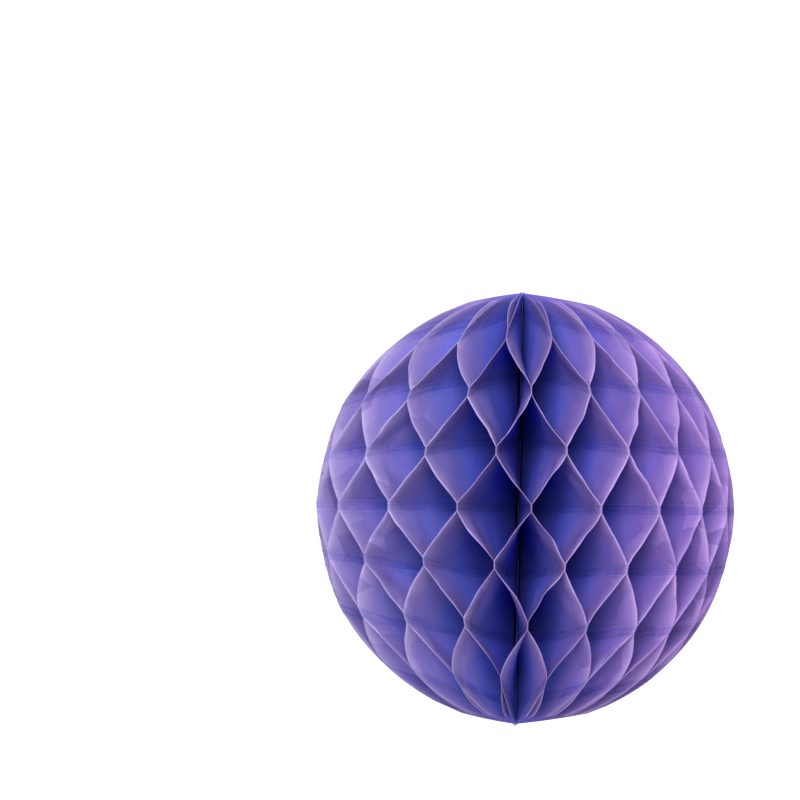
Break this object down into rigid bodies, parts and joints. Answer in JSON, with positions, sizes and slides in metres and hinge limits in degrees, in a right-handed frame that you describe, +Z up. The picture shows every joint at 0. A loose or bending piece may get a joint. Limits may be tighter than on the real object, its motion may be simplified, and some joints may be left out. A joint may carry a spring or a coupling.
{
  "type": "paper honeycomb ball",
  "caption": "Violet tissue paper honeycomb ball fanned open around a thread-bound spine between two card covers joined back to back.",
  "frame": {"origin": "hanging point, on top of the upper knot of the spine", "axes": "+Z up along the spine; the card covers meet close to +Y, and -Y is the front"},
  "size_m": [0.1501, 0.15, 0.1568],
  "materials": {
    "tissue": "matte",
    "card": "matte",
    "adhesive": "satin",
    "glue": "satin",
    "thread": "matte"
  },
  "bodies": {
    "spine": {"cover_fixed": "card", "adhesive_strip_upper": "adhesive", "adhesive_strip_lower": "adhesive", "spine_bead": "glue", "binding_thread": "thread"},
    "moving_cover": {"cover_moving": "card"},
    "leaf_01_sheet": {"leaf_01": "tissue"},
    "leaf_02_sheet": {"leaf_02": "tissue"},
    "leaf_03_sheet": {"leaf_03": "tissue"},
    "leaf_04_sheet": {"leaf_04": "tissue"},
    "leaf_05_sheet": {"leaf_05": "tissue"},
    "leaf_06_sheet": {"leaf_06": "tissue"},
    "leaf_07_sheet": {"leaf_07": "tissue"},
    "leaf_08_sheet": {"leaf_08": "tissue"},
    "leaf_09_sheet": {"leaf_09": "tissue"},
    "leaf_10_sheet": {"leaf_10": "tissue"},
    "leaf_11_sheet": {"leaf_11": "tissue"},
    "leaf_12_sheet": {"leaf_12": "tissue"},
    "leaf_13_sheet": {"leaf_13": "tissue"},
    "leaf_14_sheet": {"leaf_14": "tissue"},
    "leaf_15_sheet": {"leaf_15": "tissue"},
    "leaf_16_sheet": {"leaf_16": "tissue"},
    "leaf_17_sheet": {"leaf_17": "tissue"},
    "leaf_18_sheet": {"leaf_18": "tissue"},
    "leaf_19_sheet": {"leaf_19": "tissue"},
    "leaf_20_sheet": {"leaf_20": "tissue"},
    "leaf_21_sheet": {"leaf_21": "tissue"},
    "leaf_22_sheet": {"leaf_22": "tissue"},
    "leaf_23_sheet": {"leaf_23": "tissue"},
    "leaf_24_sheet": {"leaf_24": "tissue"},
    "leaf_25_sheet": {"leaf_25": "tissue"},
    "leaf_26_sheet": {"leaf_26": "tissue"},
    "leaf_27_sheet": {"leaf_27": "tissue"},
    "leaf_28_sheet": {"leaf_28": "tissue"},
    "leaf_29_sheet": {"leaf_29": "tissue"},
    "leaf_30_sheet": {"leaf_30": "tissue"},
    "leaf_31_sheet": {"leaf_31": "tissue"},
    "leaf_32_sheet": {"leaf_32": "tissue"},
    "leaf_33_sheet": {"leaf_33": "tissue"},
    "leaf_34_sheet": {"leaf_34": "tissue"},
    "leaf_35_sheet": {"leaf_35": "tissue"},
    "leaf_36_sheet": {"leaf_36": "tissue"}
  },
  "joints": [
    {"name": "swing_cover", "type": "hinge", "parent": "spine", "child": "moving_cover", "pos_m": [0, 0, 0], "axis": [0, 0, 1], "range_deg": [-350, 0]},
    {"name": "fan_leaf_01", "type": "hinge", "parent": "spine", "child": "leaf_01_sheet", "pos_m": [0, 0, 0], "axis": [0, 0, 1], "range_deg": [-5.5, 0], "deforming": ["leaf_01"]},
    {"name": "fan_leaf_02", "type": "hinge", "parent": "spine", "child": "leaf_02_sheet", "pos_m": [0, 0, 0], "axis": [0, 0, 1], "range_deg": [-16.3, 0], "deforming": ["leaf_02"]},
    {"name": "fan_leaf_03", "type": "hinge", "parent": "spine", "child": "leaf_03_sheet", "pos_m": [0, 0, 0], "axis": [0, 0, 1], "range_deg": [-27.4, 0], "deforming": ["leaf_03"]},
    {"name": "fan_leaf_04", "type": "hinge", "parent": "spine", "child": "leaf_04_sheet", "pos_m": [0, 0, 0], "axis": [0, 0, 1], "range_deg": [-38.8, 0], "deforming": ["leaf_04"]},
    {"name": "fan_leaf_05", "type": "hinge", "parent": "spine", "child": "leaf_05_sheet", "pos_m": [0, 0, 0], "axis": [0, 0, 1], "range_deg": [-50.2, 0], "deforming": ["leaf_05"]},
    {"name": "fan_leaf_06", "type": "hinge", "parent": "spine", "child": "leaf_06_sheet", "pos_m": [0, 0, 0], "axis": [0, 0, 1], "range_deg": [-61.8, 0], "deforming": ["leaf_06"]},
    {"name": "fan_leaf_07", "type": "hinge", "parent": "spine", "child": "leaf_07_sheet", "pos_m": [0, 0, 0], "axis": [0, 0, 1], "range_deg": [-73.5, 0], "deforming": ["leaf_07"]},
    {"name": "fan_leaf_08", "type": "hinge", "parent": "spine", "child": "leaf_08_sheet", "pos_m": [0, 0, 0], "axis": [0, 0, 1], "range_deg": [-85.1, 0], "deforming": ["leaf_08"]},
    {"name": "fan_leaf_09", "type": "hinge", "parent": "spine", "child": "leaf_09_sheet", "pos_m": [0, 0, 0], "axis": [0, 0, 1], "range_deg": [-96.7, 0], "deforming": ["leaf_09"]},
    {"name": "fan_leaf_10", "type": "hinge", "parent": "spine", "child": "leaf_10_sheet", "pos_m": [0, 0, 0], "axis": [0, 0, 1], "range_deg": [-108.1, 0], "deforming": ["leaf_10"]},
    {"name": "fan_leaf_11", "type": "hinge", "parent": "spine", "child": "leaf_11_sheet", "pos_m": [0, 0, 0], "axis": [0, 0, 1], "range_deg": [-119.4, 0], "deforming": ["leaf_11"]},
    {"name": "fan_leaf_12", "type": "hinge", "parent": "spine", "child": "leaf_12_sheet", "pos_m": [0, 0, 0], "axis": [0, 0, 1], "range_deg": [-130.5, 0], "deforming": ["leaf_12"]},
    {"name": "fan_leaf_13", "type": "hinge", "parent": "spine", "child": "leaf_13_sheet", "pos_m": [0, 0, 0], "axis": [0, 0, 1], "range_deg": [-141.3, 0], "deforming": ["leaf_13"]},
    {"name": "fan_leaf_14", "type": "hinge", "parent": "spine", "child": "leaf_14_sheet", "pos_m": [0, 0, 0], "axis": [0, 0, 1], "range_deg": [-151.8, 0], "deforming": ["leaf_14"]},
    {"name": "fan_leaf_15", "type": "hinge", "parent": "spine", "child": "leaf_15_sheet", "pos_m": [0, 0, 0], "axis": [0, 0, 1], "range_deg": [-162, 0], "deforming": ["leaf_15"]},
    {"name": "fan_leaf_16", "type": "hinge", "parent": "spine", "child": "leaf_16_sheet", "pos_m": [0, 0, 0], "axis": [0, 0, 1], "range_deg": [-171.8, 0], "deforming": ["leaf_16"]},
    {"name": "fan_leaf_17", "type": "hinge", "parent": "spine", "child": "leaf_17_sheet", "pos_m": [0, 0, 0], "axis": [0, 0, 1], "range_deg": [-181.3, 0], "deforming": ["leaf_17"]},
    {"name": "fan_leaf_18", "type": "hinge", "parent": "spine", "child": "leaf_18_sheet", "pos_m": [0, 0, 0], "axis": [0, 0, 1], "range_deg": [-190.5, 0], "deforming": ["leaf_18"]},
    {"name": "fan_leaf_19", "type": "hinge", "parent": "spine", "child": "leaf_19_sheet", "pos_m": [0, 0, 0], "axis": [0, 0, 1], "range_deg": [-199.4, 0], "deforming": ["leaf_19"]},
    {"name": "fan_leaf_20", "type": "hinge", "parent": "spine", "child": "leaf_20_sheet", "pos_m": [0, 0, 0], "axis": [0, 0, 1], "range_deg": [-208, 0], "deforming": ["leaf_20"]},
    {"name": "fan_leaf_21", "type": "hinge", "parent": "spine", "child": "leaf_21_sheet", "pos_m": [0, 0, 0], "axis": [0, 0, 1], "range_deg": [-216.3, 0], "deforming": ["leaf_21"]},
    {"name": "fan_leaf_22", "type": "hinge", "parent": "spine", "child": "leaf_22_sheet", "pos_m": [0, 0, 0], "axis": [0, 0, 1], "range_deg": [-224.4, 0], "deforming": ["leaf_22"]},
    {"name": "fan_leaf_23", "type": "hinge", "parent": "spine", "child": "leaf_23_sheet", "pos_m": [0, 0, 0], "axis": [0, 0, 1], "range_deg": [-232.4, 0], "deforming": ["leaf_23"]},
    {"name": "fan_leaf_24", "type": "hinge", "parent": "spine", "child": "leaf_24_sheet", "pos_m": [0, 0, 0], "axis": [0, 0, 1], "range_deg": [-240.3, 0], "deforming": ["leaf_24"]},
    {"name": "fan_leaf_25", "type": "hinge", "parent": "spine", "child": "leaf_25_sheet", "pos_m": [0, 0, 0], "axis": [0, 0, 1], "range_deg": [-248.1, 0], "deforming": ["leaf_25"]},
    {"name": "fan_leaf_26", "type": "hinge", "parent": "spine", "child": "leaf_26_sheet", "pos_m": [0, 0, 0], "axis": [0, 0, 1], "range_deg": [-255.9, 0], "deforming": ["leaf_26"]},
    {"name": "fan_leaf_27", "type": "hinge", "parent": "spine", "child": "leaf_27_sheet", "pos_m": [0, 0, 0], "axis": [0, 0, 1], "range_deg": [-263.7, 0], "deforming": ["leaf_27"]},
    {"name": "fan_leaf_28", "type": "hinge", "parent": "spine", "child": "leaf_28_sheet", "pos_m": [0, 0, 0], "axis": [0, 0, 1], "range_deg": [-271.7, 0], "deforming": ["leaf_28"]},
    {"name": "fan_leaf_29", "type": "hinge", "parent": "spine", "child": "leaf_29_sheet", "pos_m": [0, 0, 0], "axis": [0, 0, 1], "range_deg": [-279.9, 0], "deforming": ["leaf_29"]},
    {"name": "fan_leaf_30", "type": "hinge", "parent": "spine", "child": "leaf_30_sheet", "pos_m": [0, 0, 0], "axis": [0, 0, 1], "range_deg": [-288.3, 0], "deforming": ["leaf_30"]},
    {"name": "fan_leaf_31", "type": "hinge", "parent": "spine", "child": "leaf_31_sheet", "pos_m": [0, 0, 0], "axis": [0, 0, 1], "range_deg": [-296.9, 0], "deforming": ["leaf_31"]},
    {"name": "fan_leaf_32", "type": "hinge", "parent": "spine", "child": "leaf_32_sheet", "pos_m": [0, 0, 0], "axis": [0, 0, 1], "range_deg": [-305.9, 0], "deforming": ["leaf_32"]},
    {"name": "fan_leaf_33", "type": "hinge", "parent": "spine", "child": "leaf_33_sheet", "pos_m": [0, 0, 0], "axis": [0, 0, 1], "range_deg": [-315.1, 0], "deforming": ["leaf_33"]},
    {"name": "fan_leaf_34", "type": "hinge", "parent": "spine", "child": "leaf_34_sheet", "pos_m": [0, 0, 0], "axis": [0, 0, 1], "range_deg": [-324.7, 0], "deforming": ["leaf_34"]},
    {"name": "fan_leaf_35", "type": "hinge", "parent": "spine", "child": "leaf_35_sheet", "pos_m": [0, 0, 0], "axis": [0, 0, 1], "range_deg": [-334.6, 0], "deforming": ["leaf_35"]},
    {"name": "fan_leaf_36", "type": "hinge", "parent": "spine", "child": "leaf_36_sheet", "pos_m": [0, 0, 0], "axis": [0, 0, 1], "range_deg": [-344.9, 0], "deforming": ["leaf_36"]}
  ],
  "couplings": [
    {"joint": "fan_leaf_01", "follows": "swing_cover", "ratio": 0.01532},
    {"joint": "fan_leaf_02", "follows": "swing_cover", "ratio": 0.04634},
    {"joint": "fan_leaf_03", "follows": "swing_cover", "ratio": 0.07809},
    {"joint": "fan_leaf_04", "follows": "swing_cover", "ratio": 0.11043},
    {"joint": "fan_leaf_05", "follows": "swing_cover", "ratio": 0.14325},
    {"joint": "fan_leaf_06", "follows": "swing_cover", "ratio": 0.17637},
    {"joint": "fan_leaf_07", "follows": "swing_cover", "ratio": 0.20964},
    {"joint": "fan_leaf_08", "follows": "swing_cover", "ratio": 0.2429},
    {"joint": "fan_leaf_09", "follows": "swing_cover", "ratio": 0.27597},
    {"joint": "fan_leaf_10", "follows": "swing_cover", "ratio": 0.30869},
    {"joint": "fan_leaf_11", "follows": "swing_cover", "ratio": 0.34092},
    {"joint": "fan_leaf_12", "follows": "swing_cover", "ratio": 0.37251},
    {"joint": "fan_leaf_13", "follows": "swing_cover", "ratio": 0.40336},
    {"joint": "fan_leaf_14", "follows": "swing_cover", "ratio": 0.43337},
    {"joint": "fan_leaf_15", "follows": "swing_cover", "ratio": 0.46247},
    {"joint": "fan_leaf_16", "follows": "swing_cover", "ratio": 0.49062},
    {"joint": "fan_leaf_17", "follows": "swing_cover", "ratio": 0.51782},
    {"joint": "fan_leaf_18", "follows": "swing_cover", "ratio": 0.54407},
    {"joint": "fan_leaf_19", "follows": "swing_cover", "ratio": 0.56942},
    {"joint": "fan_leaf_20", "follows": "swing_cover", "ratio": 0.59395},
    {"joint": "fan_leaf_21", "follows": "swing_cover", "ratio": 0.61776},
    {"joint": "fan_leaf_22", "follows": "swing_cover", "ratio": 0.64097},
    {"joint": "fan_leaf_23", "follows": "swing_cover", "ratio": 0.66371},
    {"joint": "fan_leaf_24", "follows": "swing_cover", "ratio": 0.68615},
    {"joint": "fan_leaf_25", "follows": "swing_cover", "ratio": 0.70843},
    {"joint": "fan_leaf_26", "follows": "swing_cover", "ratio": 0.73073},
    {"joint": "fan_leaf_27", "follows": "swing_cover", "ratio": 0.75322},
    {"joint": "fan_leaf_28", "follows": "swing_cover", "ratio": 0.77605},
    {"joint": "fan_leaf_29", "follows": "swing_cover", "ratio": 0.79938},
    {"joint": "fan_leaf_30", "follows": "swing_cover", "ratio": 0.82334},
    {"joint": "fan_leaf_31", "follows": "swing_cover", "ratio": 0.84804},
    {"joint": "fan_leaf_32", "follows": "swing_cover", "ratio": 0.87359},
    {"joint": "fan_leaf_33", "follows": "swing_cover", "ratio": 0.90004},
    {"joint": "fan_leaf_34", "follows": "swing_cover", "ratio": 0.92745},
    {"joint": "fan_leaf_35", "follows": "swing_cover", "ratio": 0.95581},
    {"joint": "fan_leaf_36", "follows": "swing_cover", "ratio": 0.98512}
  ]
}
